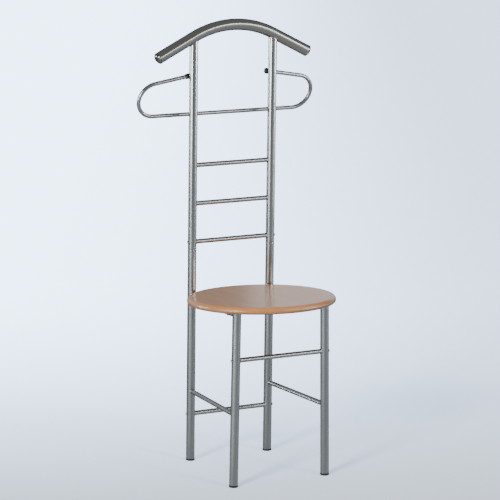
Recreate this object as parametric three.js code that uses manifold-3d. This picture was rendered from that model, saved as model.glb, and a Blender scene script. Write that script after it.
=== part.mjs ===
// A clothes valet stand: a steel tube frame that carries a round wooden seat, a shoulder
// hanger on two tall posts, and a trouser loop that leans back behind them.
// Millimetres, +Z up. The front is towards -Y, and left is -X.

import * as THREE from 'three';
import { mergeVertices } from 'three/addons/utils/BufferGeometryUtils.js';
import Module from 'manifold-3d';

const wasm = await Module();
wasm.setup();

// ---- Driving dimensions ---------------------------------------------------------------

// Fits
const gap = 0.3; // between faces that touch
const cutOverrun = 5; // cutters beyond what they cut
const seatGap = 0.5; // seat rim to rear legs

// Sides of round sections and steps along bends
const bendSteps = 16;
const turnedSides = 20;
const fastenerSides = 12;
const seatSides = 64;

// Overall
const totalHeight = 1300; // floor to the top of the hanger
const postSpacing = 257.5; // rear legs and posts, centre to centre
const frontFootSpacing = 299; // front feet, centre to centre
const frontSplayOut = degrees(0.82); // front legs lean inwards to the top
const frontSplayForward = degrees(0.6); // front legs lean backwards to the top
const frontLegInset = 30; // seat rim to the middle of a front leg's top

// Tubes
const tubeRadius = 12.7;
const tubeWall = 1.5;
const rungRadius = 7;
const rungWall = 1.2;
const hangerTubeRadius = 17;
const hangerTubeWall = 1.6;
const loopRodRadius = 6;

// Heights of what crosses the frame
const rearCrossRungHeight = 141;
const sideRungHeight = 210;
const frontCrossRungHeight = 368;
const jointHeight = 631; // top of the rear legs
const lowestBackRungRise = 24; // above the joint
const backRungPitch = 112.5;

// Hanger: an arc that runs out into two straight shoulders
const hangerArcRadius = 287;
const hangerHalfAngle = degrees(26.6);
const shoulderLength = 126;
const endCapRimHeight = 2;
const endCapDomeHeight = 8;
const endCapPlugLength = 18;
const endCapOverhang = 0.4; // cap rim beyond the tube
const plugWall = 2;

// Trouser loop, in its own leaning plane
const loopHalfWidth = 282; // middle of the rod, at the widest
const loopBendRadius = 53;
const loopArmSlope = degrees(10.4);
const loopLean = degrees(19.2);
const loopBarDrop = 280; // below the top of the hanger
const loopTail = 8; // rod beyond the post axis, inside its socket

// Loop end sockets and their screws
const socketMouthLength = 15;
const socketMouthWall = 1.5;
const socketEndWall = 6; // beyond the rod's end
const socketFlare = 1; // from its mouth to its closed end
const socketEdge = 1.5;
const socketSaddleWall = 2; // between rod and post
const loopScrewRadius = 2;
const loopScrewHeadRadius = 3.6;
const loopScrewHeadHeight = 2.2;
const loopScrewReach = 6; // past the post's rear face

// Joint sleeves between rear legs and posts
const collarHeight = 2.5;
const collarOverhang = 0.4;
const sleeveWall = 2;
const sleeveDrop = 30; // inside the rear leg
const sleeveBoltSpace = 3; // sleeve top to the bolt hole

// Bolted rungs
const boltRadius = 2.5;
const boltHeadRadius = 4.6;
const boltHeadHeight = 3.8;
const boltEngagement = 18; // inside the insert
const insertLength = 22;
const insertInset = 0.6;

// Foot caps
const footCapHeight = 5;
const footCapOverhang = 0.7;
const footCapEdge = 0.8;
const footPlugLength = 14;

// Seat
const seatRadius = 214.75;
const seatThickness = 20;
const seatHeight = 520; // top face at its middle
const seatTilt = degrees(3); // front edge raised
const seatTopRound = 9;
const seatBottomRound = 4;
const seatScrewInset = 60; // along the rail, from each leg's axis
const seatScrewRadius = 2;
const seatScrewHeadRadius = 4;
const seatScrewHeadHeight = 2.5;
const seatScrewBite = 12; // inside the wood

// ---- Worked out from them -------------------------------------------------------------

const postX = postSpacing / 2;
const boltHoleRadius = boltRadius + gap;
const seatMiddleY = -Math.sqrt((seatRadius + tubeRadius + seatGap) ** 2 - postX ** 2);
const frontTopX = frontFootSpacing / 2 - (seatHeight - seatThickness) * Math.tan(frontSplayOut);
const frontTopY = seatMiddleY - Math.sqrt((seatRadius - frontLegInset) ** 2 - frontTopX ** 2);
const footCapRadius = tubeRadius + footCapOverhang;
const collarRadius = tubeRadius + collarOverhang;
const postFoot = jointHeight + collarHeight + 2 * gap;
const lowestBackRungHeight = jointHeight + lowestBackRungRise;
const sleeveTop = lowestBackRungHeight - boltHoleRadius - sleeveBoltSpace;
const hangerApexHeight = totalHeight - hangerTubeRadius;
const hangerArcCentre = hangerApexHeight - hangerArcRadius;
const sides = [[-1, 'left'], [1, 'right']];
const upwards = new THREE.Vector3(0, 0, 1);

function degrees(angle) {
  return THREE.MathUtils.degToRad(angle);
}

// Middle of a front leg at a height.
function frontLegAt(side, z) {
  const belowTop = seatHeight - seatThickness - z;
  const x = frontTopX + belowTop * Math.tan(frontSplayOut);
  return new THREE.Vector3(side * x, frontTopY - belowTop * Math.tan(frontSplayForward), z);
}

// Middle of a rear leg or post at a height.
function postAt(side, z) {
  return new THREE.Vector3(side * postX, 0, z);
}

// Height of the seat's underside above a point of the floor plan.
function undersideAt(y) {
  return seatHeight - seatThickness / Math.cos(seatTilt) - (y - seatMiddleY) * Math.tan(seatTilt);
}

// ---- Materials ------------------------------------------------------------------------

const lacqueredSteel = finish(0x868c8e, 0.42, 0.8);
const hangerSteel = finish(0x6f6c68, 0.4, 0.8);
const nickelSteel = finish(0x9a9a96, 0.3, 0.9);
const chrome = finish(0xd8dadc, 0.12, 1);
const zinc = finish(0xb4b6b6, 0.3, 1);
const blackPlastic = finish(0x18191a, 0.5, 0);
const beech = finish(0xb08a68, 0.35, 0);

function finish(color, roughness, metalness) {
  return new THREE.MeshStandardMaterial({ color, roughness, metalness });
}

// ---- Solids and cuts ------------------------------------------------------------------

function toSolid(geometry) {
  const bare = geometry.clone();
  bare.deleteAttribute('normal');
  bare.deleteAttribute('uv');
  const merged = mergeVertices(bare, 1e-4);
  const corners = merged.index.array;
  const triangles = [];
  for (let i = 0; i < corners.length; i += 3) {
    const [a, b, c] = corners.slice(i, i + 3);
    if (a !== b && b !== c && c !== a) {
      triangles.push(a, b, c);
    }
  }
  return new wasm.Manifold(new wasm.Mesh({
    numProp: 3,
    vertProperties: new Float32Array(merged.attributes.position.array),
    triVerts: new Uint32Array(triangles),
  }));
}

function toGeometry(solid) {
  const { vertProperties, triVerts } = solid.getMesh();
  const geometry = new THREE.BufferGeometry();
  geometry.setAttribute('position', new THREE.BufferAttribute(vertProperties, 3));
  geometry.setIndex(new THREE.BufferAttribute(triVerts, 1));
  geometry.computeVertexNormals();
  return geometry;
}

// Cuts other placed meshes out of a placed mesh.
function carve(mesh, cutters) {
  mesh.updateWorldMatrix(true, false);
  const toLocal = mesh.matrixWorld.clone().invert();
  let solid = toSolid(mesh.geometry);
  for (const cutter of cutters) {
    cutter.updateWorldMatrix(true, false);
    const shape = cutter.geometry.clone().applyMatrix4(cutter.matrixWorld).applyMatrix4(toLocal);
    solid = solid.subtract(toSolid(shape));
  }
  mesh.geometry = toGeometry(solid);
  return mesh;
}

// A round section, or a ring where a wall is given.
function section(radius, wall) {
  const shape = new THREE.Shape().absarc(0, 0, radius, 0, 2 * Math.PI);
  if (wall) {
    shape.holes.push(new THREE.Path().absarc(0, 0, radius - wall, 0, 2 * Math.PI));
  }
  return shape;
}

// Half the number of sides that a round section of this radius has.
function arcSteps(radius) {
  return Math.round(THREE.MathUtils.clamp(3 + radius * 0.6, 4, 12));
}

// A straight tube or rod that stands on the origin.
function pipe(length, radius, wall) {
  const options = { depth: length, curveSegments: arcSteps(radius), bevelEnabled: false };
  return new THREE.ExtrudeGeometry(section(radius, wall), options);
}

// A tube or rod bent along a path.
function bent(path, radius, wall) {
  const options = {
    extrudePath: path,
    steps: path.steps,
    curveSegments: arcSteps(radius),
    bevelEnabled: false,
  };
  return new THREE.ExtrudeGeometry(section(radius, wall), options);
}

// A turned piece about Z, from [radius, height] points with the material on their left.
function turned(profile, segments = turnedSides) {
  const points = profile.map(([radius, height]) => new THREE.Vector2(radius, height));
  return new THREE.LatheGeometry(points, segments).rotateX(Math.PI / 2);
}

// Quarter of an ellipse, from its rim up to the axis.
function dome(radius, base, height, steps = 4) {
  const points = [];
  for (let i = 0; i < steps; i++) {
    const angle = (i / steps) * (Math.PI / 2);
    points.push([radius * Math.cos(angle), base + height * Math.sin(angle)]);
  }
  points.push([0, base + height]);
  return points;
}

function piece(name, geometry, material, position = new THREE.Vector3()) {
  const mesh = new THREE.Mesh(geometry, material);
  mesh.name = name;
  mesh.position.copy(position);
  return mesh;
}

// Turns a piece so that its own +Z points along a direction.
function aim(mesh, direction) {
  mesh.quaternion.setFromUnitVectors(upwards, direction.clone().normalize());
  return mesh;
}

function span(name, material, start, end, radius, wall) {
  const length = start.distanceTo(end);
  return aim(piece(name, pipe(length, radius, wall), material, start), end.clone().sub(start));
}

// A path in a plane that leans back as it drops: the outline's x is X, its y climbs.
// A straight run of the outline is one step, and an arc has the given number of steps.
class LeaningPath extends THREE.Curve {
  constructor(outline, origin, lean, stepsInArc) {
    super();
    const climb = new THREE.Vector3(0, -Math.sin(lean), Math.cos(lean));
    this.stops = outline.getPoints(stepsInArc / 2).map(({ x, y }) => (
      new THREE.Vector3(x, 0, 0).add(origin).addScaledVector(climb, y)
    ));
    this.steps = this.stops.length - 1;
  }

  getPointAt(u, target = new THREE.Vector3()) {
    return target.copy(this.stops[Math.round(u * this.steps)]);
  }

  getTangentAt(u, target = new THREE.Vector3()) {
    const index = Math.round(u * this.steps);
    const before = this.stops[Math.max(index - 1, 0)];
    const after = this.stops[Math.min(index + 1, this.steps)];
    return target.subVectors(after, before).normalize();
  }
}

// ---- Cutters that several pieces share -------------------------------------------------

// Shears a front leg's pieces, so that they lean but stay flat on the floor.
function splay(geometry, side) {
  const shear = new THREE.Matrix4();
  shear.elements[8] = -side * Math.tan(frontSplayOut);
  shear.elements[9] = Math.tan(frontSplayForward);
  return geometry.applyMatrix4(shear);
}

function rearCore(side) {
  return piece('', pipe(totalHeight, tubeRadius + gap), zinc, postAt(side, 0));
}

function frontCore(side) {
  return piece('', splay(pipe(seatHeight, tubeRadius + gap), side), zinc, frontLegAt(side, 0));
}

// The hole that a rung bolt needs through a leg or post.
function boltHole(middle) {
  const reach = new THREE.Vector3(tubeRadius + cutOverrun, 0, 0);
  return span('', zinc, middle.clone().sub(reach), middle.clone().add(reach), boltHoleRadius);
}

// ---- Legs and posts ---------------------------------------------------------------------

function footCap(name) {
  const plugRadius = tubeRadius - tubeWall - gap;
  const plugTop = footCapHeight + footPlugLength;
  const profile = [
    [0, 0],
    [footCapRadius - footCapEdge, 0],
    [footCapRadius, footCapEdge],
    [footCapRadius, footCapHeight],
    [plugRadius, footCapHeight],
    [plugRadius, plugTop],
    [plugRadius - plugWall, plugTop],
    [plugRadius - plugWall, footCapHeight],
    [0, footCapHeight],
  ];
  return piece(name, turned(profile), blackPlastic);
}

function rearLeg(side, word) {
  const foot = footCapHeight + gap;
  const tube = pipe(jointHeight - foot, tubeRadius, tubeWall);
  const leg = piece(`rear_leg_${word}`, tube, lacqueredSteel, postAt(side, foot));
  return carve(leg, [boltHole(postAt(side, rearCrossRungHeight))]);
}

function frontLeg(side, word) {
  const foot = footCapHeight + gap;
  const rearOfTop = frontLegAt(side, seatHeight).y + tubeRadius;
  const top = undersideAt(rearOfTop) - gap;
  const tube = splay(pipe(top - foot, tubeRadius, tubeWall), side);
  const leg = piece(`front_leg_${word}`, tube, lacqueredSteel, frontLegAt(side, foot));
  return carve(leg, [boltHole(frontLegAt(side, frontCrossRungHeight))]);
}

function jointSleeve(side, word) {
  const outer = tubeRadius - tubeWall - gap;
  const inner = outer - sleeveWall;
  const collarFoot = jointHeight + gap;
  const collarTop = collarFoot + collarHeight;
  const profile = [
    [inner, collarFoot - sleeveDrop],
    [outer, collarFoot - sleeveDrop],
    [outer, collarFoot],
    [collarRadius, collarFoot],
    [collarRadius, collarTop],
    [outer, collarTop],
    [outer, sleeveTop],
    [inner, sleeveTop],
    [inner, collarFoot - sleeveDrop],
  ];
  return piece(`joint_sleeve_${word}`, turned(profile), chrome, postAt(side, 0));
}

function upperPost(side, word, hangerCore) {
  const top = hangerArcCentre + Math.sqrt(hangerArcRadius ** 2 - postX ** 2);
  const tube = pipe(top - postFoot, tubeRadius, tubeWall);
  const post = piece(`upper_post_${word}`, tube, lacqueredSteel, postAt(side, postFoot));
  const bolt = boltHole(postAt(side, lowestBackRungHeight));
  return carve(post, [hangerCore, bolt, loopScrewHole(side)]);
}

// ---- Rungs --------------------------------------------------------------------------------

function crossRung(name, height, at, core) {
  const rung = span(name, nickelSteel, at(-1, height), at(1, height), rungRadius, rungWall);
  return carve(rung, [core(-1), core(1)]);
}

// Inserts inside a bolted rung's ends, and the bolts that hold them.
function rungFasteners(name, height, at) {
  const pieces = [];
  for (const [side, word] of sides) {
    const inwards = new THREE.Vector3(-side, 0, 0);
    const outwards = new THREE.Vector3(side, 0, 0);
    const start = at(side, height).addScaledVector(inwards, tubeRadius + insertInset + gap);
    const end = start.clone().addScaledVector(inwards, insertLength);
    const radius = rungRadius - rungWall - gap;
    const insertName = `${name}_insert_${word}`;
    pieces.push(span(insertName, zinc, start, end, radius, radius - boltHoleRadius));
    const head = at(side, height).addScaledVector(outwards, tubeRadius + gap);
    const length = 2 * (tubeRadius + gap) + insertInset + boltEngagement;
    const bolt = turned([
      [0, -length],
      [boltRadius, -length],
      [boltRadius, 0],
      ...dome(boltHeadRadius, 0, boltHeadHeight, 3),
    ], fastenerSides);
    pieces.push(aim(piece(`${name}_bolt_${word}`, bolt, zinc, head), outwards));
  }
  return pieces;
}

function sideRung(side, word) {
  const rear = postAt(side, sideRungHeight);
  const front = frontLegAt(side, sideRungHeight);
  const rung = span(`side_rung_${word}`, nickelSteel, rear, front, rungRadius, rungWall);
  return carve(rung, [rearCore(side), frontCore(side)]);
}

// ---- Hanger -------------------------------------------------------------------------------

function hangerPath() {
  const turn = Math.PI / 2 - hangerHalfAngle;
  const bend = new THREE.Vector2(Math.cos(turn), Math.sin(turn)).multiplyScalar(hangerArcRadius);
  const endX = bend.x + shoulderLength * Math.cos(hangerHalfAngle);
  const endZ = bend.y - shoulderLength * Math.sin(hangerHalfAngle);
  const outline = new THREE.Path();
  outline.moveTo(-endX, endZ);
  outline.lineTo(-bend.x, bend.y);
  outline.absarc(0, 0, hangerArcRadius, Math.PI - turn, turn, true);
  outline.lineTo(endX, endZ);
  return new LeaningPath(outline, new THREE.Vector3(0, 0, hangerArcCentre), 0, bendSteps);
}

function hangerEndCap(side, word, path) {
  const plugRadius = hangerTubeRadius - hangerTubeWall - gap;
  const rim = hangerTubeRadius + endCapOverhang;
  const profile = [
    [0, 0],
    [plugRadius - plugWall, 0],
    [plugRadius - plugWall, -endCapPlugLength],
    [plugRadius, -endCapPlugLength],
    [plugRadius, 0],
    [rim, 0],
    ...dome(rim, endCapRimHeight, endCapDomeHeight, 5),
  ];
  const end = path.getPointAt(side < 0 ? 0 : 1);
  const outwards = new THREE.Vector3(side * Math.cos(hangerHalfAngle), 0, -Math.sin(hangerHalfAngle));
  end.addScaledVector(outwards, gap);
  return aim(piece(`hanger_end_cap_${word}`, turned(profile), chrome, end), outwards);
}

// ---- Trouser loop ---------------------------------------------------------------------------

// Outline of the loop in its plane, with the middle of its bar on the origin.
const loopBendX = loopHalfWidth - loopBendRadius;
const loopTurn = Math.PI / 2 - loopArmSlope;
const armFoot = new THREE.Vector2(
  loopBendX + loopBendRadius * Math.cos(loopTurn),
  loopBendRadius * (1 + Math.sin(loopTurn)),
);

// How far up the loop's plane its arm is, at a distance from the middle.
function armRise(x) {
  return armFoot.y + (armFoot.x - x) * Math.tan(loopArmSlope);
}

// The rod passes behind each post at this distance from the post's axis.
const rodBehindPost = tubeRadius + loopRodRadius + socketSaddleWall;
const loopOrigin = new THREE.Vector3(
  0,
  rodBehindPost + armRise(postX) * Math.sin(loopLean),
  totalHeight - loopBarDrop,
);

function loopPath() {
  const endX = postX - loopTail;
  const outline = new THREE.Path();
  outline.moveTo(-endX, armRise(endX));
  outline.lineTo(-armFoot.x, armFoot.y);
  outline.absarc(-loopBendX, loopBendRadius, loopBendRadius, Math.PI - loopTurn, 1.5 * Math.PI);
  outline.lineTo(loopBendX, 0);
  outline.absarc(loopBendX, loopBendRadius, loopBendRadius, -Math.PI / 2, loopTurn);
  outline.lineTo(endX, armRise(endX));
  return new LeaningPath(outline, loopOrigin, loopLean, bendSteps);
}

// Where the rod's middle passes a post.
function loopAtPost(side) {
  const rise = armRise(postX);
  return new THREE.Vector3(side * postX, rodBehindPost, loopOrigin.z + rise * Math.cos(loopLean));
}

// The hole for a loop screw, from inside the post to behind the socket.
function loopScrewHole(side) {
  const front = loopAtPost(side).setY(0);
  const back = loopAtPost(side).setY(rodBehindPost + loopRodRadius + cutOverrun);
  return span('', zinc, front, back, loopScrewRadius + gap);
}

function loopScrewSeat(side) {
  return loopAtPost(side).setY(rodBehindPost + loopRodRadius + 2 * gap);
}

function trouserLoop() {
  const loop = piece('trouser_loop', bent(loopPath(), loopRodRadius), nickelSteel);
  return carve(loop, sides.map(([side]) => loopScrewHole(side)));
}

function loopEndSocket(side, word) {
  const boreRadius = loopRodRadius + gap;
  const boreEnd = loopTail / Math.cos(loopArmSlope) + 2 * gap;
  const end = boreEnd + socketEndWall;
  const mouthRadius = boreRadius + socketMouthWall;
  const endRadius = mouthRadius + socketFlare;
  const profile = [
    [0, boreEnd],
    [boreRadius, boreEnd],
    [boreRadius, -socketMouthLength],
    [mouthRadius, -socketMouthLength],
    [endRadius, end - socketEdge],
    [endRadius - socketEdge, end],
    [0, end],
  ];
  const inwards = new THREE.Vector3(
    -side * Math.cos(loopArmSlope),
    -Math.sin(loopLean) * Math.sin(loopArmSlope),
    Math.cos(loopLean) * Math.sin(loopArmSlope),
  );
  const socket = piece(`loop_end_socket_${word}`, turned(profile), blackPlastic, loopAtPost(side));
  aim(socket, inwards);
  const seat = loopScrewSeat(side);
  const behind = seat.clone().setY(seat.y + loopRodRadius + cutOverrun);
  const headSpace = span('', zinc, seat, behind, loopScrewHeadRadius + gap);
  return carve(socket, [rearCore(side), headSpace, loopScrewHole(side)]);
}

function loopScrew(side, word) {
  const seat = loopScrewSeat(side);
  const length = seat.y - tubeRadius + loopScrewReach;
  const screw = turned([
    [0, -length],
    [loopScrewRadius, -length],
    [loopScrewRadius, gap],
    ...dome(loopScrewHeadRadius, gap, loopScrewHeadHeight, 3),
  ], fastenerSides);
  return aim(piece(`loop_screw_${word}`, screw, zinc, seat), new THREE.Vector3(0, 1, 0));
}

// ---- Seat -----------------------------------------------------------------------------------

const seatPlane = new THREE.Group();
seatPlane.position.set(0, seatMiddleY, seatHeight);
seatPlane.rotation.x = -seatTilt;

// Middle of a seat rail below the board, at a leg's axis.
function railAt(side, axis) {
  const below = (rungRadius + gap) / Math.cos(seatTilt);
  return axis.setZ(undersideAt(axis.y) - below);
}

function railEnds(side) {
  return [railAt(side, postAt(side, 0)), railAt(side, frontLegAt(side, seatHeight - seatThickness))];
}

// The seat screws' places, in the seat's own tilted frame.
function seatScrewPlaces(side) {
  const [rear, front] = railEnds(side);
  const along = front.clone().sub(rear).normalize();
  const places = [
    ['rear', rear.addScaledVector(along, seatScrewInset)],
    ['front', front.addScaledVector(along, -seatScrewInset)],
  ];
  seatPlane.updateWorldMatrix(true, false);
  return places.map(([word, place]) => [word, seatPlane.worldToLocal(place)]);
}

function seatScrewHole(place) {
  const length = 2 * rungRadius + seatScrewBite + 4 * gap + cutOverrun;
  const hole = piece('', pipe(length, seatScrewRadius + gap), zinc, place);
  hole.position.z = -seatThickness + seatScrewBite + 2 * gap - length;
  seatPlane.add(hole);
  return hole;
}

function seatRail(side, word, holes) {
  const [rear, front] = railEnds(side);
  const rail = span(`seat_rail_${word}`, nickelSteel, rear, front, rungRadius, rungWall);
  return carve(rail, [rearCore(side), frontCore(side), ...holes]);
}

function seatBoard(holes) {
  const rounding = dome(seatTopRound, -seatTopRound, seatTopRound, 4).slice(1, -1);
  const bottomRounding = dome(seatBottomRound, 0, seatBottomRound, 2).slice(1, -1).reverse();
  const profile = [
    [0, -seatThickness],
    [seatRadius - seatBottomRound, -seatThickness],
    ...bottomRounding.map(([radius, height]) => (
      [seatRadius - seatBottomRound + radius, -seatThickness + seatBottomRound - height]
    )),
    [seatRadius, -seatThickness + seatBottomRound],
    [seatRadius, -seatTopRound],
    ...rounding.map(([radius, height]) => [seatRadius - seatTopRound + radius, height]),
    [seatRadius - seatTopRound, 0],
    [0, 0],
  ];
  const board = piece('seat_board', turned(profile, seatSides), beech);
  seatPlane.add(board);
  return carve(board, holes);
}

function seatScrew(name, place) {
  const headTop = -seatThickness - 2 * rungRadius - 2 * gap;
  const length = 2 * rungRadius + 2 * gap + seatScrewBite;
  const screw = turned([
    ...dome(seatScrewHeadRadius, 0, seatScrewHeadHeight, 3).reverse().map(([r, z]) => [r, -z]),
    [seatScrewRadius, 0],
    [seatScrewRadius, length],
    [0, length],
  ], fastenerSides);
  return piece(name, screw, zinc, place.clone().setZ(headTop));
}

// ---- Assembly -------------------------------------------------------------------------------

const frame = new THREE.Group();
frame.add(seatPlane);

const hangerLine = hangerPath();
const hangerCore = piece('', bent(hangerLine, hangerTubeRadius + gap), zinc);
frame.add(piece('hanger_tube', bent(hangerLine, hangerTubeRadius, hangerTubeWall), hangerSteel));

for (const [side, word] of sides) {
  frame.add(hangerEndCap(side, word, hangerLine));
  frame.add(upperPost(side, word, hangerCore));
  frame.add(jointSleeve(side, word));
  frame.add(rearLeg(side, word));
  frame.add(frontLeg(side, word));
  const rearCap = footCap(`rear_foot_cap_${word}`);
  rearCap.position.copy(postAt(side, 0));
  const frontCap = footCap(`front_foot_cap_${word}`);
  splay(frontCap.geometry, side);
  frontCap.position.copy(frontLegAt(side, 0));
  frame.add(rearCap, frontCap);
  frame.add(sideRung(side, word));
}

['lower', 'middle', 'upper'].forEach((word, index) => {
  const height = lowestBackRungHeight + index * backRungPitch;
  frame.add(crossRung(`back_rung_${word}`, height, postAt, rearCore));
});
frame.add(crossRung('rear_cross_rung', rearCrossRungHeight, postAt, rearCore));
frame.add(crossRung('front_cross_rung', frontCrossRungHeight, frontLegAt, frontCore));
frame.add(...rungFasteners('back_rung', lowestBackRungHeight, postAt));
frame.add(...rungFasteners('rear_cross', rearCrossRungHeight, postAt));
frame.add(...rungFasteners('front_cross', frontCrossRungHeight, frontLegAt));

frame.add(trouserLoop());
for (const [side, word] of sides) {
  frame.add(loopEndSocket(side, word), loopScrew(side, word));
}

const seatHoles = [];
const seatScrews = [];
for (const [side, word] of sides) {
  const places = seatScrewPlaces(side);
  const holes = places.map(([, place]) => seatScrewHole(place));
  seatHoles.push(...holes);
  frame.add(seatRail(side, word, holes));
  seatScrews.push(...places.map(([end, place]) => seatScrew(`seat_screw_${end}_${word}`, place)));
}
seatPlane.add(seatBoard(seatHoles));
seatPlane.remove(...seatHoles);
seatPlane.add(...seatScrews);

// The origin is the middle of the whole stand's footprint, on the floor.
const extent = new THREE.Box3().setFromObject(frame, true);
frame.position.y = -(extent.min.y + extent.max.y) / 2;

const valetStand = new THREE.Group();
valetStand.add(frame);

export default valetStand;
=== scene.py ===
"""A tubular steel valet stand with a beech seat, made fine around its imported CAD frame.

Metres, +Z up, front towards -Y and left towards -X, as in the frame.
"""

import math

import bmesh
import bpy
from mathutils import Matrix, Vector


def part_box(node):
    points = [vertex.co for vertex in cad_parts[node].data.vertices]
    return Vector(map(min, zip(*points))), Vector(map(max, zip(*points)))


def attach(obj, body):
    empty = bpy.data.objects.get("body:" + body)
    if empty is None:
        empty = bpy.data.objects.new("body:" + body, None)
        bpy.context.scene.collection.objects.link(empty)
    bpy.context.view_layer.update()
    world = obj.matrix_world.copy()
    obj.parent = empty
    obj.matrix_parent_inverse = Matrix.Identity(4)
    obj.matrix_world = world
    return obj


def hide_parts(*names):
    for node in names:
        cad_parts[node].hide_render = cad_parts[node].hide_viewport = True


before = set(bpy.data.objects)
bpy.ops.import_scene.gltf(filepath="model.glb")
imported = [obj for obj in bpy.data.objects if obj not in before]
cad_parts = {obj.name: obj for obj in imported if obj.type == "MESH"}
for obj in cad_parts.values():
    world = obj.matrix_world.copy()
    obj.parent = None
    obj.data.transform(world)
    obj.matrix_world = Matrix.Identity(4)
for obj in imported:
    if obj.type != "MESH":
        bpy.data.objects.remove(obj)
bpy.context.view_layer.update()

SIDES = ((-1, "left"), (1, "right"))
UP = Vector((0, 0, 1))


# ---- Sizes and places, from the frame ----------------------------------------------------


def middle(node):
    low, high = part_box(node)
    return (low + high) / 2


def extent(node):
    low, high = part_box(node)
    return high - low


POST_X = abs(middle("rear_leg_right").x)
POST_Y = middle("rear_leg_right").y
TUBE = extent("rear_leg_right").x / 2
RUNG = extent("back_rung_middle").z / 2
HANGER = extent("hanger_tube").y / 2
ROD = 0.006
EDGE = 0.0004  # small chamfer on cut tube ends
WELD = 0.0013
FIT = 0.0003  # gap between faces that touch

# The hanger is an arc that runs out into two straight shoulders.
HANGER_ARC = 0.287
HANGER_HALF_ANGLE = math.radians(26.6)
SHOULDER = 0.126
HANGER_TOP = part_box("hanger_tube")[1].z - HANGER

# The trouser loop lies in a plane that leans back as it drops.
LOOP_BEND = 0.053
LOOP_ARM_SLOPE = math.radians(10.4)
LOOP_LEAN = math.radians(19.2)
LOOP_TAIL = 0.008

SEAT_TILT = math.radians(3)
SEAT_THICKNESS = 0.020
SEAT_RADIUS = extent("seat_board").x / 2

# The camera stands to the left of the front and a little above.
CAMERA_YAW = -0.4958
CAMERA_PITCH = 0.1951
CAMERA_ROLL = 0.0129
CAMERA_LENS = 205.56
CAMERA_FROM_LEGS = Vector((-3.8515873, -7.0838594, 2.2407157))
LEGS_BEHIND = 0.153  # middle of the legs' footprint to the posts


# ---- Mesh tools ---------------------------------------------------------------------------


def finish_mesh(name, bm, sharp_angle=38):
    bmesh.ops.recalc_face_normals(bm, faces=bm.faces)
    mesh = bpy.data.meshes.new(name)
    bm.to_mesh(mesh)
    bm.free()
    mesh.polygons.foreach_set("use_smooth", [True] * len(mesh.polygons))
    mesh.set_sharp_from_angle(angle=math.radians(sharp_angle))
    piece = bpy.data.objects.new(name, mesh)
    bpy.context.scene.collection.objects.link(piece)
    return piece


def path_frames(points):
    """A pair of side vectors at each point, carried along the path without twist."""
    frames = []
    side = None
    for i, point in enumerate(points):
        before = points[i - 1] if i else point
        after = points[i + 1] if i + 1 < len(points) else point
        tangent = (after - before).normalized()
        if side is None:
            side = tangent.orthogonal()
        side = (side - tangent * side.dot(tangent)).normalized()
        frames.append((side.copy(), tangent.cross(side)))
    return frames


def sweep(bm, points, radii, sides):
    """A round bar along a path. The rings of vertices are returned."""
    if isinstance(radii, float):
        radii = [radii] * len(points)
    rings = []
    for point, radius, (u, v) in zip(points, radii, path_frames(points)):
        ring = []
        for k in range(sides):
            angle = 2 * math.pi * k / sides
            ring.append(bm.verts.new(point + (u * math.cos(angle) + v * math.sin(angle)) * radius))
        rings.append(ring)
    for lower, upper in zip(rings, rings[1:]):
        for k in range(sides):
            bm.faces.new((lower[k], lower[(k + 1) % sides], upper[(k + 1) % sides], upper[k]))
    bm.faces.new(rings[0])
    bm.faces.new(rings[-1])
    return rings


def turn(bm, profile, sides, hexagon):
    """A turned body about Z from (radius, height) pairs. Rings named in hexagon have six flats."""
    rings = []
    for index, (radius, height) in enumerate(profile):
        if radius < 1e-7:
            rings.append([bm.verts.new((0, 0, height))])
            continue
        ring = []
        for k in range(sides):
            angle = 2 * math.pi * k / sides
            reach = radius
            if index in hexagon:
                reach /= math.cos((angle + math.pi / 6) % (math.pi / 3) - math.pi / 6)
            ring.append(bm.verts.new((reach * math.cos(angle), reach * math.sin(angle), height)))
        rings.append(ring)
    for lower, upper in zip(rings, rings[1:]):
        for k in range(sides):
            corners = [lower[k % len(lower)], lower[(k + 1) % len(lower)]]
            corners += [upper[(k + 1) % len(upper)], upper[k % len(upper)]]
            corners = list(dict.fromkeys(corners))
            bm.faces.new(corners)
    for ring in (rings[0], rings[-1]):
        if len(ring) > 1:
            bm.faces.new(ring)


def quarter(centre, radius, start, stop, steps=8):
    """Points of an arc in a profile, from start to stop in degrees."""
    points = []
    for i in range(steps + 1):
        angle = math.radians(start + (stop - start) * i / steps)
        points.append((centre[0] + radius * math.cos(angle), centre[1] + radius * math.sin(angle)))
    return points


def aim(direction, origin):
    return Matrix.Translation(origin) @ direction.to_track_quat("Z", "Y").to_matrix().to_4x4()


def tube_distance(start, end, radius):
    """Distance of a point from an endless straight tube's surface."""
    axis = (end - start).normalized()

    def distance(point):
        offset = point - start
        return (offset - axis * offset.dot(axis)).length - radius

    return distance


def path_distance(points, radius):
    """Distance of a point from the surface of a bent tube."""
    spans = [(a, b - a, (b - a).length_squared) for a, b in zip(points, points[1:])]

    def distance(point):
        nearest = 1e9
        for start, step, squared in spans:
            t = min(1, max(0, (point - start).dot(step) / squared))
            nearest = min(nearest, (point - start - step * t).length)
        return nearest - radius

    return distance


def cope(ring, direction, distance, reach):
    """Moves a ring's vertices along a direction until they meet a neighbour's surface."""
    for vertex in ring:
        low, high = 0, reach
        for _ in range(22):
            half = (low + high) / 2
            if distance(vertex.co + direction * half) > 0:
                low = half
            else:
                high = half
        vertex.co += direction * low


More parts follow.
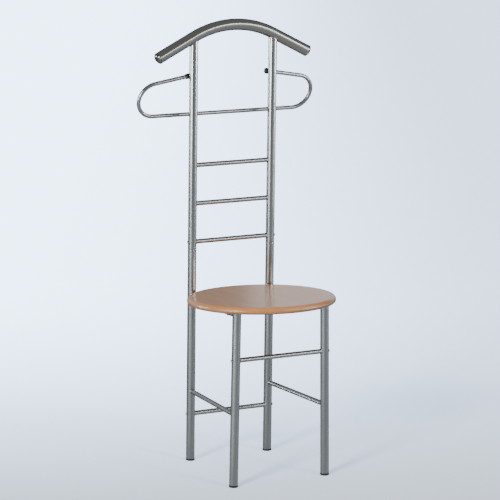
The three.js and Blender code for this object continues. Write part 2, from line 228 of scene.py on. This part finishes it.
def weld_bead(bm, ring, centre):
    """A small fillet of weld round a coped end."""
    points = [vertex.co.copy() for vertex in ring]
    sides = 10
    rings = []
    for i, point in enumerate(points):
        tangent = (points[(i + 1) % len(points)] - points[i - 1]).normalized()
        outwards = point - centre
        outwards = (outwards - tangent * outwards.dot(tangent)).normalized()
        other = tangent.cross(outwards)
        ripple = WELD * (1 + 0.1 * math.sin(i * 2 * math.pi / 4))
        circle = []
        for k in range(sides):
            angle = 2 * math.pi * k / sides
            offset = (outwards * math.cos(angle) + other * math.sin(angle)) * ripple
            circle.append(bm.verts.new(point + offset))
        rings.append(circle)
    for lower, upper in zip(rings, rings[1:] + rings[:1]):
        for k in range(sides):
            bm.faces.new((lower[k], lower[(k + 1) % sides], upper[(k + 1) % sides], upper[k]))


def straight_tube(name, start, end, radius, start_on=None, end_on=None, sides=48):
    """A tube whose ends are plain cuts, or coped and welded on to a neighbour's surface."""
    bm = bmesh.new()
    along = (end - start).normalized()
    stations, radii = [], []
    back_off = TUBE + 0.004
    if start_on:
        stations.append(start + along * back_off)
        radii.append(radius)
    else:
        stations += [start, start + along * EDGE]
        radii += [radius - EDGE, radius]
    length = (end - start).length
    steps = max(2, round(length / 0.06))
    stations += [start.lerp(end, (i + 1) / (steps + 1)) for i in range(steps)]
    radii += [radius] * steps
    if end_on:
        stations.append(end - along * back_off)
        radii.append(radius)
    else:
        stations += [end - along * EDGE, end]
        radii += [radius, radius - EDGE]
    rings = sweep(bm, stations, radii, sides)
    for ring, direction, neighbour in ((rings[0], -along, start_on), (rings[-1], along, end_on)):
        if neighbour:
            cope(ring, direction, neighbour, 2 * back_off)
            centre = sum((v.co for v in ring), Vector()) / len(ring)
            weld_bead(bm, ring, centre)
    return finish_mesh(name, bm)


def turned_piece(name, profile, place, sides=64, hexagon=(), sharp_angle=38):
    bm = bmesh.new()
    turn(bm, profile, sides, hexagon)
    piece = finish_mesh(name, bm, sharp_angle)
    piece.data.transform(place)
    return piece


# ---- Materials ----------------------------------------------------------------------------


class Nodes:
    """A material's node tree, with short calls to add and join its nodes."""

    def __init__(self, name):
        self.material = bpy.data.materials.new(name)
        self.material.use_nodes = True
        self.tree = self.material.node_tree
        self.shader = self.tree.nodes["Principled BSDF"]
        self.place = self.add("ShaderNodeTexCoord").outputs["Object"]

    def add(self, kind, inputs=None, **settings):
        node = self.tree.nodes.new(kind)
        for key, value in settings.items():
            setattr(node, key, value)
        for key, value in (inputs or {}).items():
            self.feed(node.inputs[key], value)
        return node

    def feed(self, socket, value):
        """Joins a socket to an output, or gives it a plain value."""
        if isinstance(value, bpy.types.NodeSocket):
            self.tree.links.new(value, socket)
        else:
            socket.default_value = value

    def stretched(self, scale):
        return self.add("ShaderNodeMapping", {"Vector": self.place, "Scale": scale}).outputs[0]

    def noise(self, scale, detail=3.0, vector=None, roughness=0.5, distortion=0.0):
        inputs = {"Vector": vector or self.place, "Scale": scale, "Detail": detail}
        inputs.update({"Roughness": roughness, "Distortion": distortion})
        return self.add("ShaderNodeTexNoise", inputs).outputs["Fac"]

    def spread(self, value, low, high, start=0.0, stop=1.0, curve="LINEAR"):
        """Maps start..stop of a value to low..high."""
        inputs = {"Value": value, "From Min": start, "From Max": stop}
        inputs.update({"To Min": low, "To Max": high})
        node = self.add("ShaderNodeMapRange", inputs, interpolation_type=curve)
        return node.outputs["Result"]

    def blend(self, factor, first, second):
        """Mixes two colours. The node's sockets 0, 6 and 7 are the ones in use for colour."""
        node = self.add("ShaderNodeMix", data_type="RGBA")
        for index, value in ((0, factor), (6, first), (7, second)):
            self.feed(node.inputs[index], value)
        return node.outputs[2]

    def maths(self, operation, first, second):
        node = self.add("ShaderNodeMath", {0: first, 1: second}, operation=operation)
        return node.outputs[0]

    def bump(self, height, strength, distance, normal=None):
        inputs = {"Height": height, "Strength": strength, "Distance": distance}
        if normal:
            inputs["Normal"] = normal
        return self.add("ShaderNodeBump", inputs).outputs["Normal"]

    def set(self, **values):
        """Sets the shader's sockets; an underscore in a name stands for a space."""
        for key, value in values.items():
            self.feed(self.shader.inputs[key.replace("_", " ")], value)
        return self.material


def grey(value, tint=(1, 1, 1)):
    return (value * tint[0], value * tint[1], value * tint[2], 1)


def metal_lacquer(name, dark, light, roughness, tint):
    """Metallic paint: fine flake, faint orange peel and soft rubbed patches."""
    n = Nodes(name)
    flake = n.noise(1800, 1)
    cloud = n.noise(9, 4)
    colour = n.blend(n.spread(flake, 0, 1, 0.3, 0.7), grey(dark, tint), grey(light, tint))
    rubbed = n.spread(cloud, roughness * 0.9, roughness * 1.15, 0.3, 0.7)
    peel = n.bump(n.noise(160, 2), 0.02, 0.0001)
    grain = n.bump(flake, 0.01, 0.00002, peel)
    n.set(Specular_Tint=(0.5, 0.5, 0.5, 1))
    return n.set(Base_Color=colour, Metallic=1.0, Roughness=rubbed, Normal=grain)


def plated(name, value, roughness):
    """Bright plating with a faint haze and hairline wear."""
    n = Nodes(name)
    haze = n.noise(60, 4)
    lines = n.noise(240, 3, n.stretched((1, 1, 14)))
    colour = n.blend(n.spread(haze, 0, 1, 0.35, 0.65), grey(value * 0.93), grey(value))
    worn = n.spread(haze, roughness, roughness * 1.8, 0.35, 0.7)
    fine = n.bump(lines, 0.03, 0.0001)
    return n.set(Base_Color=colour, Metallic=1.0, Roughness=worn, Normal=fine)


def moulded_plastic(name):
    n = Nodes(name)
    grain = n.noise(1500, 2)
    cloud = n.noise(35, 3)
    colour = n.blend(cloud, grey(0.009), grey(0.017))
    rough = n.spread(cloud, 0.36, 0.52, 0.3, 0.7)
    skin = n.bump(grain, 0.2, 0.0001)
    return n.set(Base_Color=colour, Roughness=rough, Normal=skin, IOR=1.49)


def lacquered_beech(name):
    """Beech board: long soft grain, darker pores and rays under a clear lacquer."""
    n = Nodes(name)
    along = n.stretched((14, 1, 14))
    bands = n.noise(3.2, 4, along, 0.55, 0.6)
    fibres = n.noise(26, 4, along, 0.6)
    flecks = n.noise(120, 2, n.stretched((6, 0.7, 6)), 0.5)
    pale, warm = (0.56, 0.248, 0.088, 1), (0.50, 0.212, 0.074, 1)
    brown, dark = (0.38, 0.155, 0.058, 1), (0.27, 0.10, 0.036, 1)
    base = n.blend(n.spread(bands, 0, 1, 0.3, 0.7), pale, warm)
    base = n.blend(n.spread(fibres, 0, 0.3, 0.45, 0.75), base, brown)
    base = n.blend(n.spread(flecks, 0, 0.35, 0.6, 0.72), base, dark)
    rough = n.spread(bands, 0.3, 0.4, 0.3, 0.7)
    relief = n.bump(fibres, 0.06, 0.0002)
    relief = n.bump(flecks, 0.1, 0.0001, relief)
    values = {"Coat_Weight": 1.0, "Coat_Roughness": 0.2, "Coat_IOR": 1.5}
    return n.set(Base_Color=base, Roughness=rough, Normal=relief, **values)


WARM = (1.0, 0.99, 0.97)
COOL = (0.94, 0.985, 1.0)
LACQUER = metal_lacquer("silver_lacquer", 0.41, 0.47, 0.19, COOL)
HANGER_LACQUER = metal_lacquer("hanger_lacquer", 0.38, 0.44, 0.2, WARM)
NICKEL = metal_lacquer("bright_lacquer", 0.44, 0.5, 0.23, (1, 1, 0.985))
CHROME = plated("polished_chrome", 0.85, 0.06)
# The same polished chrome as the collars, darkened to paint in the dark reflections round the end
# caps' highlights.
PAINTED_SHADE_CHROME = plated("painted_shade_chrome", 0.26, 0.05)
ZINC = plated("bright_zinc", 0.5, 0.16)
PLASTIC = moulded_plastic("black_moulded_plastic")
BEECH = lacquered_beech("lacquered_beech")


def keep(piece, material, slot, *nodes):
    """Paints a piece, ties it to the frame and hides the CAD nodes it stands for."""
    piece.data.materials.clear()
    piece.data.materials.append(material)
    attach(piece, "root")
    if nodes:
        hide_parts(*nodes)
    return piece


# ---- Hanger -------------------------------------------------------------------------------


def hanger_path():
    centre = HANGER_TOP - HANGER_ARC
    points = []
    steps = 44
    for i in range(steps + 1):
        angle = HANGER_HALF_ANGLE * (2 * i / steps - 1)
        height = centre + HANGER_ARC * math.cos(angle)
        points.append(Vector((HANGER_ARC * math.sin(angle), POST_Y, height)))
    shoulder = Vector((math.cos(HANGER_HALF_ANGLE), 0, -math.sin(HANGER_HALF_ANGLE)))
    right = [points[-1] + shoulder * SHOULDER * k / 3 for k in (1, 2, 3)]
    left = [Vector((-p.x, p.y, p.z)) for p in reversed(right)]
    return left + points + right


HANGER_LINE = hanger_path()


def make_hanger():
    bm = bmesh.new()
    sweep(bm, HANGER_LINE, HANGER, 72)
    keep(finish_mesh("hanger_tube_fine", bm), HANGER_LACQUER, "hanger_steel", "hanger_tube")
    rim = HANGER + 0.0004
    rim_round = 0.0012
    dome_height = 0.008
    rim_height = 0.002
    # The dome is part of a sphere that meets the rim with a small round.
    ball = (rim * rim + dome_height * dome_height) / (2 * dome_height)
    open_angle = math.degrees(math.asin((rim - rim_round) / ball))
    profile = [(0, 0), (rim - EDGE, 0), (rim, EDGE), (rim, rim_height)]
    dome = quarter((0, rim_height + dome_height - ball), ball, 90 - open_angle, 90, 18)
    profile += dome[:-1] + [(0, rim_height + dome_height)]
    for side, word in SIDES:
        tip = HANGER_LINE[0] if side < 0 else HANGER_LINE[-1]
        outwards = Vector((side * math.cos(HANGER_HALF_ANGLE), 0, -math.sin(HANGER_HALF_ANGLE)))
        place = aim(outwards, tip + outwards * FIT)
        cap = turned_piece(f"hanger_end_cap_{word}_fine", profile, place, 72)
        # The caps take the chrome that is darkened with painted dark reflections.
        keep(cap, PAINTED_SHADE_CHROME, "polished_chrome", f"hanger_end_cap_{word}")


# ---- Legs, posts and rungs -------------------------------------------------------------------


def leg_ends(node):
    """Middle of a leg's lowest and highest section; a front leg leans in as it climbs."""
    low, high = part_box(node)
    side = 1 if (low.x + high.x) > 0 else -1
    outer = max(abs(low.x), abs(high.x)) - TUBE
    inner = min(abs(low.x), abs(high.x)) + TUBE
    reach = extent("rear_leg_right").y / 2
    foot = Vector((side * outer, low.y + reach, low.z))
    top = Vector((side * inner, high.y - reach, high.z))
    return foot, top


def leg_surface(node):
    return tube_distance(*leg_ends(node), TUBE)


def leg_at(node, height):
    foot, top = leg_ends(node)
    return foot.lerp(top, (height - foot.z) / (top.z - foot.z))


def make_legs():
    hanger_surface = path_distance(HANGER_LINE, HANGER)
    for side, word in SIDES:
        for end in ("rear", "front"):
            node = f"{end}_leg_{word}"
            leg = straight_tube(f"{node}_fine", *leg_ends(node), TUBE)
            keep(leg, LACQUER, "lacquered_steel", node)
        node = f"upper_post_{word}"
        foot = Vector((side * POST_X, POST_Y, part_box(node)[0].z))
        top = Vector((side * POST_X, POST_Y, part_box(node)[1].z))
        post = straight_tube(f"{node}_fine", foot, top, TUBE, end_on=hanger_surface, sides=64)
        keep(post, LACQUER, "lacquered_steel", node)


def make_rungs():
    for node in ("back_rung_lower", "back_rung_middle", "back_rung_upper", "rear_cross_rung"):
        height = middle(node).z
        ends = [Vector((side * POST_X, POST_Y, height)) for side, _ in SIDES]
        surfaces = [tube_distance(end, end + UP, TUBE) for end in ends]
        rung = straight_tube(f"{node}_fine", *ends, RUNG, *surfaces)
        keep(rung, NICKEL, "nickel_steel", node)
    height = middle("front_cross_rung").z
    ends = [leg_at(f"front_leg_{word}", height) for _, word in SIDES]
    surfaces = [leg_surface(f"front_leg_{word}") for _, word in SIDES]
    rung = straight_tube("front_cross_rung_fine", *ends, RUNG, *surfaces)
    keep(rung, NICKEL, "nickel_steel", "front_cross_rung")
    for _, word in SIDES:
        surfaces = [leg_surface(f"rear_leg_{word}"), leg_surface(f"front_leg_{word}")]
        height = middle(f"side_rung_{word}").z
        ends = [leg_at(f"{end}_leg_{word}", height) for end in ("rear", "front")]
        rung = straight_tube(f"side_rung_{word}_fine", *ends, RUNG, *surfaces)
        keep(rung, NICKEL, "nickel_steel", f"side_rung_{word}")
        ends = rail_ends(word)
        rail = straight_tube(f"seat_rail_{word}_fine", *ends, RUNG, *surfaces)
        keep(rail, NICKEL, "nickel_steel", f"seat_rail_{word}")


def underside_at(y):
    """Height of the seat board's underside."""
    top = seat_centre()
    return top.z - SEAT_THICKNESS / math.cos(SEAT_TILT) - (y - top.y) * math.tan(SEAT_TILT)


def seat_centre():
    """Middle of the seat board's top face."""
    board = middle("seat_board")
    sink = SEAT_THICKNESS / 2
    return Vector((0, board.y + sink * math.sin(SEAT_TILT), board.z + sink * math.cos(SEAT_TILT)))


def rail_ends(word):
    """Ends of a seat rail's middle line, in its two legs and just under the board."""
    drop = (RUNG + FIT) / math.cos(SEAT_TILT)
    near_seat = 0.5
    rear = leg_at(f"rear_leg_{word}", near_seat)
    front = leg_at(f"front_leg_{word}", near_seat)
    return [Vector((p.x, p.y, underside_at(p.y) - drop)) for p in (rear, front)]


def make_foot_caps():
    rim = extent("rear_foot_cap_left").x / 2
    plug = TUBE - 0.002
    height = 0.005
    round_edge = 0.0012
    top_edge = 0.0006
    hollow = 0.0003  # the middle of the base stands clear of the floor
    profile = [(0, hollow), (rim - 0.004, hollow), (rim - 0.0034, 0), (rim - round_edge, 0)]
    profile += quarter((rim - round_edge, round_edge), round_edge, -90, 0, 6)[1:]
    profile += [(rim, height - top_edge), (rim - top_edge, height), (plug, height)]
    profile += [(plug, height + 0.002), (0, height + 0.002)]
    for _, word in SIDES:
        for end in ("rear", "front"):
            node = f"{end}_foot_cap_{word}"
            leg_foot = leg_ends(f"{end}_leg_{word}")[0]
            place = Matrix.Translation((leg_foot.x, leg_foot.y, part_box(node)[0].z))
            cap = turned_piece(f"{node}_fine", profile, place, 64)
            keep(cap, PLASTIC, "black_plastic", node)


def make_joint_collars():
    """Bright rings between the rear legs and the posts, with a short plug into each."""
    plug, plug_length = TUBE - 0.002, 0.01
    soft = 0.0011
    for side, word in SIDES:
        node = f"joint_sleeve_{word}"
        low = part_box(f"rear_leg_{word}")[1].z + FIT
        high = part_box(f"upper_post_{word}")[0].z - FIT
        rim = extent(node).x / 2
        profile = [(0, low - plug_length), (plug, low - plug_length), (plug, low)]
        profile += [(rim - soft, low)] + quarter((rim - soft, low + soft), soft, -90, 0, 4)[1:]
        profile += quarter((rim - soft, high - soft), soft, 0, 90, 4)
        profile += [(plug, high), (plug, high + plug_length), (0, high + plug_length)]
        place = Matrix.Translation((side * POST_X, POST_Y, 0))
        keep(turned_piece(f"{node}_fine", profile, place), CHROME, "polished_chrome", node)


def make_bolts():
    """Button heads with a six-sided socket, over the bolts' plain shanks."""
    head, height, socket, depth = 0.0046, 0.0034, 0.0015, 0.0018
    shank, shank_length = 0.0024, 0.004
    head_from_tip = 0.0038  # underside of the head to the bolt's outer end
    chamfer, lip = 0.0003, 0.00015
    flat_top = socket + 0.0004
    dome, dome_steps = math.radians(62), 8
    profile = [(0, -shank_length), (shank, -shank_length), (shank, 0)]
    profile += [(head - chamfer, 0), (head, chamfer)]
    for i in range(1, dome_steps + 1):
        share = i / dome_steps
        reach = flat_top + (head - flat_top) * math.cos(share * math.pi / 2)
        rise = (height - chamfer) * math.sin(dome * share) / math.sin(dome)
        profile.append((reach, chamfer + rise))
    profile += [(socket + lip, height), (socket, height - lip)]
    profile += [(socket, height - depth), (0, height - depth - 0.0006)]
    flats = (len(profile) - 4, len(profile) - 3, len(profile) - 2)
    for name in ("back_rung", "rear_cross", "front_cross"):
        for side, word in SIDES:
            node = f"{name}_bolt_{word}"
            low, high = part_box(node)
            bolt = middle(node)
            outer = high.x if side > 0 else low.x
            head_base = Vector((outer - side * head_from_tip, bolt.y, bolt.z))
            place = aim(Vector((side, 0, 0)), head_base)
            piece = turned_piece(f"{node}_fine", profile, place, 36, flats, 30)
            keep(piece, ZINC, "zinc_fasteners", node)


# ---- Trouser loop ---------------------------------------------------------------------------


def loop_plane():
    low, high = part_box("trouser_loop")
    bar = Vector((0, high.y - ROD, low.z + ROD))
    climb = Vector((0, -math.sin(LOOP_LEAN), math.cos(LOOP_LEAN)))
    return bar, climb


def arm_foot():
    """Where a straight arm leaves its bend, across and up the loop's plane."""
    bend_x = extent("trouser_loop").x / 2 - ROD - LOOP_BEND
    turn_angle = math.pi / 2 - LOOP_ARM_SLOPE
    x = bend_x + LOOP_BEND * math.cos(turn_angle)
    return x, LOOP_BEND * (1 + math.sin(turn_angle)), bend_x, turn_angle


def arm_point(side, x):
    bar, climb = loop_plane()
    foot_x, foot_rise, _, _ = arm_foot()
    rise = foot_rise + (foot_x - x) * math.tan(LOOP_ARM_SLOPE)
    return bar + Vector((side * x, 0, 0)) + climb * rise


def loop_path():
    bar, climb = loop_plane()
    foot_x, _, bend_x, turn_angle = arm_foot()
    right = [bar + Vector((bend_x * k / 4, 0, 0)) for k in range(4)]
    steps = 40
    for i in range(steps + 1):
        angle = -math.pi / 2 + (math.pi / 2 + turn_angle) * i / steps
        x = bend_x + LOOP_BEND * math.cos(angle)
        right.append(bar + Vector((x, 0, 0)) + climb * LOOP_BEND * (1 + math.sin(angle)))
    end_x = POST_X - LOOP_TAIL
    right += [arm_point(1, foot_x + (end_x - foot_x) * k / 3) for k in (1, 2, 3)]
    left = [Vector((-p.x, p.y, p.z)) for p in reversed(right[1:])]
    return left + right


def make_loop():
    bm = bmesh.new()
    sweep(bm, loop_path(), ROD, 40)
    keep(finish_mesh("trouser_loop_fine", bm), NICKEL, "nickel_steel", "trouser_loop")


def make_loop_sockets():
    """Tapered plastic ends of the loop, hollowed where they sit against the posts."""
    bore, mouth, tail = ROD + FIT, ROD + 0.0018, ROD + 0.0028
    tail_end, mouth_end = 0.0147, -0.015
    tail_wall, soft = 0.006, 0.0055
    lead_in, mouth_edge = 0.0004, 0.0005
    body_start = mouth_end + mouth_edge
    profile = [(0, tail_end - tail_wall), (bore, tail_end - tail_wall)]
    profile += [(bore, mouth_end + lead_in), (bore + 0.0003, mouth_end)]
    profile += [(mouth - mouth_edge, mouth_end), (mouth, body_start)]
    body_steps = 14
    for i in range(1, body_steps + 1):
        share = i / body_steps
        height = body_start + (tail_end - soft - body_start) * share
        profile.append((mouth + (tail - mouth) * share, height))
    profile += quarter((tail - soft, tail_end - soft), soft, 0, 90, 6)[1:] + [(0, tail_end)]
    reach = TUBE + 0.0002
    for side, word in SIDES:
        node = f"loop_end_socket_{word}"
        outer, inner = arm_point(side, POST_X + 0.02), arm_point(side, POST_X - 0.02)
        place = aim(inner - outer, arm_point(side, POST_X))
        socket = turned_piece(f"{node}_fine", profile, place, 96)
        post = Vector((side * POST_X, POST_Y, 0))
        for vertex in socket.data.vertices:
            offset = vertex.co - post
            if abs(offset.x) < reach and offset.y < math.sqrt(reach**2 - offset.x**2):
                vertex.co.y = post.y + math.sqrt(reach**2 - offset.x**2)
        keep(socket, PLASTIC, "black_plastic", node)
        screw = middle(f"loop_screw_{word}")
        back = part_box(f"loop_screw_{word}")[1].y
        recessed_screw(f"loop_screw_{word}", Vector((screw.x, back, screw.z)), Vector((0, 1, 0)))


def recessed_screw(node, top, outwards):
    """A pan head with a cross recess; top is the crown of the head."""
    head, height, crown, chamfer = 0.0036, 0.0024, 0.0009, 0.0003
    shank, shank_length = 0.0019, 0.004
    recess = (0.0038, 0.0008, 0.0028)  # length, width and twice the depth of one slot
    profile = [(0, -height - shank_length), (shank, -height - shank_length), (shank, -height)]
    profile += [(head - chamfer, -height), (head, -height + chamfer)]
    profile += [(head, -crown), (head - chamfer, -crown * 0.55), (head * 0.75, -crown * 0.2)]
    profile += [(head * 0.4, -crown * 0.05), (0, 0)]
    screw = turned_piece(f"{node}_fine", profile, aim(outwards, top), 32)
    for turn_angle in (0, math.pi / 2):
        bm = bmesh.new()
        bmesh.ops.create_cube(bm, size=1)
        bmesh.ops.scale(bm, vec=recess, verts=bm.verts)
        cutter = finish_mesh("recess", bm)
        cutter.data.transform(aim(outwards, top) @ Matrix.Rotation(turn_angle, 4, "Z"))
        cut(screw, cutter)
    keep(screw, ZINC, "zinc_fasteners", node)


def cut(piece, cutter):
    """Takes one solid out of another, and removes the cutter."""
    modifier = piece.modifiers.new("cut", "BOOLEAN")
    modifier.object = cutter
    modifier.solver = "EXACT"
    depsgraph = bpy.context.evaluated_depsgraph_get()
    result = bpy.data.meshes.new_from_object(piece.evaluated_get(depsgraph))
    piece.modifiers.clear()
    piece.data = result
    bpy.data.objects.remove(cutter)


# ---- Seat -----------------------------------------------------------------------------------


def make_seat():
    bottom_round, top_round = 0.0085, 0.0105
    profile = [(0, -SEAT_THICKNESS)]
    profile += [(SEAT_RADIUS * k / 6, -SEAT_THICKNESS) for k in range(1, 6)]
    low = (SEAT_RADIUS - bottom_round, -SEAT_THICKNESS + bottom_round)
    profile += quarter(low, bottom_round, -90, 0, 10)
    profile += quarter((SEAT_RADIUS - top_round, -top_round), top_round, 0, 90, 14)
    profile += [(SEAT_RADIUS * k / 6, 0) for k in range(5, 0, -1)] + [(0, 0)]
    place = Matrix.Translation(seat_centre()) @ Matrix.Rotation(-SEAT_TILT, 4, "X")
    board = turned_piece("seat_board_fine", profile, place, 240)
    keep(board, BEECH, "beech_board", "seat_board")
    down = Matrix.Rotation(-SEAT_TILT, 3, "X") @ Vector((0, 0, -1))
    for _, word in SIDES:
        for end in ("rear", "front"):
            node = f"seat_screw_{end}_{word}"
            length = extent(node).z / math.cos(SEAT_TILT) - 2 * FIT
            recessed_screw(node, middle(node) + down * length / 2, down)


# ---- Hidden inserts -------------------------------------------------------------------------


def paint_inserts():
    for name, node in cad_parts.items():
        if "_insert_" in name:
            node.data.materials.clear()
            node.data.materials.append(ZINC)


# ---- Floor, light and camera ----------------------------------------------------------------


FLOOR_RADIUS = 60
CEILING_RADIUS = 58
FLOOR_GLOW = (0.95, 1.0, 1.03, 1)
WHITE = (1.0, 0.995, 0.98, 1)

# Studio cards: name, azimuth, distance, width, lowest and highest edge, colour, strength.
# Azimuth 0 is straight in front of the stand, and 90 is to its right.
CARDS = (
    ("left_softbox", -79, 5.0, 3.0, 0.06, 0.62, WHITE, 6.0),
    ("left_bounce", -104, 5.2, 2.6, 0.0, 0.62, WHITE, 0.7),
    ("front_flag", -26, 3.2, 2.6, 0.0, 1.2, (0.84, 0.98, 1.0, 1), 0.27),
    ("front_right_bounce", 24, 3.4, 1.9, 0.0, 1.05, WHITE, 0.5),
    ("right_softbox", 78, 5.0, 5.6, 0.0, 0.62, WHITE, 1.7),
    ("rear_bounce", 132, 4.24, 3.14, 0.5, 2.2, (0.97, 0.98, 1.0, 1), 0.8),
    ("rear_left_bounce", -165, 4.24, 4.2, 0.32, 2.6, (0.90, 0.97, 1.06, 1), 0.62),
    ("horizon_strip", 28, 30, 15.0, 5.8, 10.5, (1.0, 0.99, 0.96, 1), 6.5),
    ("horizon_band", 28, 31, 32, 5.6, 12.5, WHITE, 0.8),
    ("rim_left_softbox", -68, 10, 4.2, 0.0, 0.9, WHITE, 24.0),
    ("rim_right_softbox", 58, 10, 5.6, 0.0, 0.9, WHITE, 20.0),
    ("rim_rear_softbox", -129, 10, 4.2, 0.0, 0.9, WHITE, 20.0),
    ("upper_left_softbox", -75, 3.2, 1.2, 1.35, 2.3, WHITE, 5.0),
    ("upper_right_softbox", 54, 3.2, 1.1, 1.35, 2.3, WHITE, 5.0),
)


def see_only(piece, *kinds):
    """Leaves a studio piece in sight of the named kinds of ray only."""
    for kind in ("camera", "diffuse", "glossy", "transmission", "shadow"):
        setattr(piece, f"visible_{kind}", kind in kinds)


def glow(name, colour, strength):
    n = Nodes(name)
    n.set(Base_Color=(0, 0, 0, 1), Roughness=0.8, Specular_IOR_Level=0.0)
    return n.set(Emission_Color=colour, Emission_Strength=strength)


def studio_disc(name, height, material, ray, segments=64):
    """A floor that one kind of ray sees."""
    bm = bmesh.new()
    bmesh.ops.create_circle(bm, cap_ends=True, segments=segments, radius=FLOOR_RADIUS)
    disc = finish_mesh(name, bm)
    disc.data.materials.append(material)
    disc.location.z = height
    see_only(disc, ray)


def pale_floor():
    """A pale floor with a light of its own, brighter behind the stand and to its left."""
    n = Nodes("pale_floor")
    turned = n.add("ShaderNodeMapping", {"Vector": n.place, "Rotation": (0, 0, -CAMERA_YAW)})
    parts = n.add("ShaderNodeSeparateXYZ", {0: turned.outputs[0]}).outputs
    sideways = n.spread(parts["X"], 4.7, 1.45, -1.1, 1.1, "SMOOTHSTEP")
    depth = n.spread(parts["Y"], 0.0, 1.0, -0.9, 2.6, "SMOOTHSTEP")
    light = n.maths("ADD", n.maths("MULTIPLY", sideways, depth), n.spread(depth, 0.28, 0))
    colour = n.blend(n.noise(0.7, 3), (0.75, 0.79, 0.84, 1), (0.78, 0.82, 0.87, 1))
    n.set(Base_Color=colour, Roughness=0.75, Specular_IOR_Level=0.1)
    return n.set(Emission_Color=(0.68, 0.92, 1.34, 1), Emission_Strength=light)


def bounce_floor():
    """The floor's reflection in polished surfaces, brightest to the front left."""
    n = Nodes("bounce_floor")
    parts = n.add("ShaderNodeSeparateXYZ", {0: n.place}).outputs
    leftwards = n.spread(parts["X"], 0.36, 0, -1.5, -0.1)
    forwards = n.spread(parts["Y"], 1, 0, -0.2, 0.6)
    everywhere = n.spread(parts["Y"], 0.39, 0.22, 0.0, 1.0)
    light = n.maths("ADD", n.maths("MULTIPLY", leftwards, forwards), everywhere)
    n.set(Base_Color=(0, 0, 0, 1), Roughness=0.8, Specular_IOR_Level=0.0)
    return n.set(Emission_Color=FLOOR_GLOW, Emission_Strength=light)


def make_floor():
    studio_disc("studio_floor", -0.0005, pale_floor(), "camera", 128)
    studio_disc("bounce_floor", -0.002, bounce_floor(), "glossy")
    studio_disc("shade_floor", -0.004, glow("shade_floor", FLOOR_GLOW, 0.16), "diffuse")


def make_card(name, azimuth, distance, width, low, high, colour, strength):
    """A studio card that only polished surfaces see."""
    angle = math.radians(azimuth)
    bm = bmesh.new()
    bmesh.ops.create_grid(bm, x_segments=1, y_segments=1, size=0.5)
    card = finish_mesh(name, bm)
    card.data.materials.append(glow(name, colour, strength))
    centre = Vector((math.sin(angle) * distance, -math.cos(angle) * distance, (low + high) / 2))
    facing = Vector((-math.sin(angle), math.cos(angle), 0))
    card.data.transform(aim(facing, centre) @ Matrix.Diagonal((width, high - low, 1, 1)))
    see_only(card, "glossy")


def make_sun(name, direction, energy):
    lamp = bpy.data.lights.new(name, "SUN")
    lamp.energy = energy
    lamp.angle = math.radians(12)
    lamp.color = (1.0, 0.98, 0.95)
    sun = bpy.data.objects.new(name, lamp)
    sun.rotation_euler = Vector(direction).to_track_quat("-Z", "Y").to_euler()
    sun.visible_glossy = False
    bpy.context.scene.collection.objects.link(sun)


def make_light():
    world = bpy.data.worlds.new("studio")
    bpy.context.scene.world = world
    world.use_nodes = True
    around = world.node_tree.nodes["Background"]
    around.inputs["Color"].default_value = (0.90, 0.95, 1.0, 1)
    around.inputs["Strength"].default_value = 0.42
    world.cycles_visibility.glossy = False

    bm = bmesh.new()
    bmesh.ops.create_uvsphere(bm, u_segments=48, v_segments=24, radius=CEILING_RADIUS)
    ceiling = finish_mesh("studio_ceiling", bm)
    ceiling.data.materials.append(glow("studio_ceiling", (0.225, 0.226, 0.226, 1), 1.0))
    see_only(ceiling, "glossy")

    make_sun("left_window", (0.78, 0.46, -0.44), 3.3)
    make_sun("front_window", (-0.33, 0.80, -0.5), 1.0)
    for card in CARDS:
        make_card(*card)


def make_camera():
    data = bpy.data.cameras.new("camera")
    data.lens = CAMERA_LENS
    data.sensor_width = 36
    data.clip_end = 200
    camera = bpy.data.objects.new("camera", data)
    bpy.context.scene.collection.objects.link(camera)
    level = math.cos(CAMERA_PITCH)
    forward = Vector((-math.sin(CAMERA_YAW) * level, math.cos(CAMERA_YAW) * level, 0))
    forward.z = -math.sin(CAMERA_PITCH)
    across = Vector((math.cos(CAMERA_YAW), math.sin(CAMERA_YAW), 0))
    upright = across.cross(forward)
    across, upright = (
        across * math.cos(CAMERA_ROLL) + upright * math.sin(CAMERA_ROLL),
        upright * math.cos(CAMERA_ROLL) - across * math.sin(CAMERA_ROLL),
    )
    facing = Matrix((across, upright, -forward)).transposed().to_4x4()
    legs_middle = Vector((0, POST_Y - LEGS_BEHIND, 0))
    camera.matrix_world = Matrix.Translation(legs_middle + CAMERA_FROM_LEGS) @ facing
    bpy.context.scene.camera = camera


make_camera()
make_floor()
make_light()
make_hanger()
make_legs()
make_rungs()
make_foot_caps()
make_joint_collars()
make_bolts()
make_loop()
make_loop_sockets()
make_seat()
paint_inserts()
